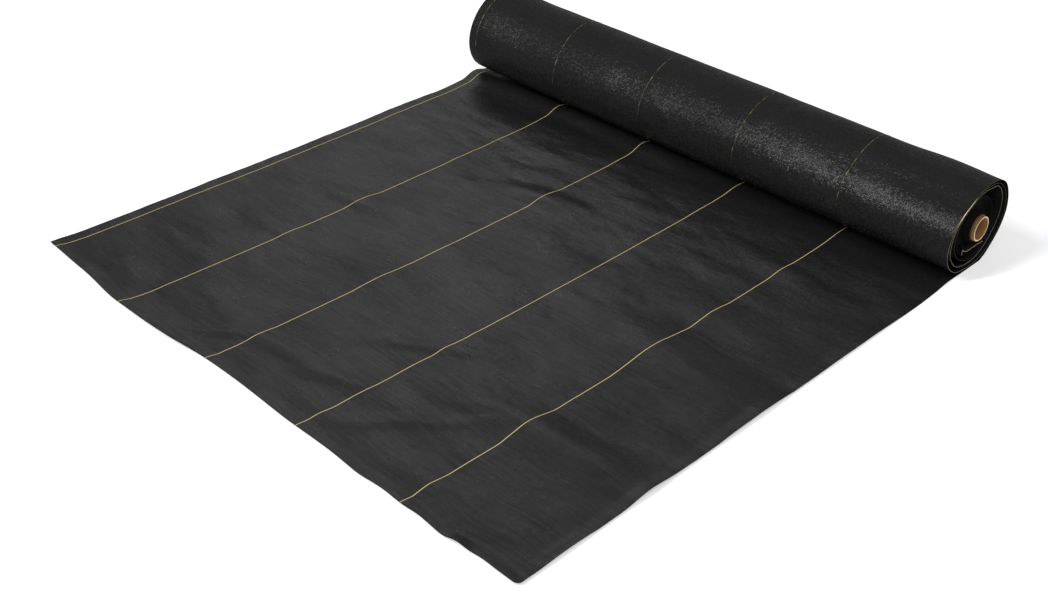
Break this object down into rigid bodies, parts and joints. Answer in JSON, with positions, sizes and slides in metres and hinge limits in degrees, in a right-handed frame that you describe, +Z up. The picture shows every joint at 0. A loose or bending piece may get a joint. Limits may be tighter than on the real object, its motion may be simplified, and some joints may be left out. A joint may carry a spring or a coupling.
{
  "type": "roll of weed control fabric",
  "caption": "Wide roll of black woven ground cover fabric on a paper core, part unrolled flat, with pale guide yarns along its length.",
  "frame": {"origin": "on the floor under the middle of the bounding box, so the roll lies at +Y and the cut edge of the sheet at -Y", "axes": "+X along the roll's axis and across the fabric, +Y from the cut edge towards the roll, +Z up"},
  "size_m": [1.01, 1.005, 0.1434],
  "materials": {
    "woven_fabric": "flat polypropylene tape weave, satin",
    "wound_fabric": "reverse face of the tape weave, satin",
    "packed_edges": "edges of tightly wound fabric, matte",
    "guide_yarn": "bright yarn, satin",
    "guide_yarn_reverse": "yarn seen through the weave, dull",
    "core_paper": "wound kraft paper, matte",
    "core_ply_paper": "loose outer ply of kraft paper, matte"
  },
  "bodies": {
    "laid_fabric": {"laid_sheet": "woven_fabric", "laid_guide_yarn_1": "guide_yarn", "laid_guide_yarn_2": "guide_yarn", "laid_guide_yarn_3": "guide_yarn", "laid_guide_yarn_4": "guide_yarn", "laid_guide_yarn_5": "guide_yarn"},
    "outer_turn": {"outer_turns": "wound_fabric", "roll_guide_yarn_1": "guide_yarn_reverse", "roll_guide_yarn_2": "guide_yarn_reverse", "roll_guide_yarn_3": "guide_yarn_reverse", "roll_guide_yarn_4": "guide_yarn_reverse", "roll_guide_yarn_5": "guide_yarn_reverse", "edge_yarn": "guide_yarn"},
    "wound_roll": {"wound_pack": "packed_edges", "buckled_turn": "woven_fabric"},
    "core": {"core_tube": "core_paper", "core_outer_ply": "core_ply_paper"}
  },
  "joints": [
    {"name": "roll_travel", "type": "slide", "parent": "laid_fabric", "child": "outer_turn", "axis": [0, 1, 0], "range_m": [-0.44, 0.44], "deforming": ["laid_sheet", "laid_guide_yarn_1", "laid_guide_yarn_2", "laid_guide_yarn_3", "laid_guide_yarn_4", "laid_guide_yarn_5"]},
    {"name": "roll_turn", "type": "hinge", "parent": "outer_turn", "child": "wound_roll", "pos_m": [0, 0.42202, 0.0654], "axis": [1, 0, 0], "range_deg": [-360, 360]},
    {"name": "core_slide", "type": "slide", "parent": "wound_roll", "child": "core", "axis": [1, 0, 0], "range_m": [-0.06, 0.06]}
  ],
  "couplings": [
    {"joint": "roll_turn", "follows": "roll_travel", "rad_per_m": -14.2}
  ]
}
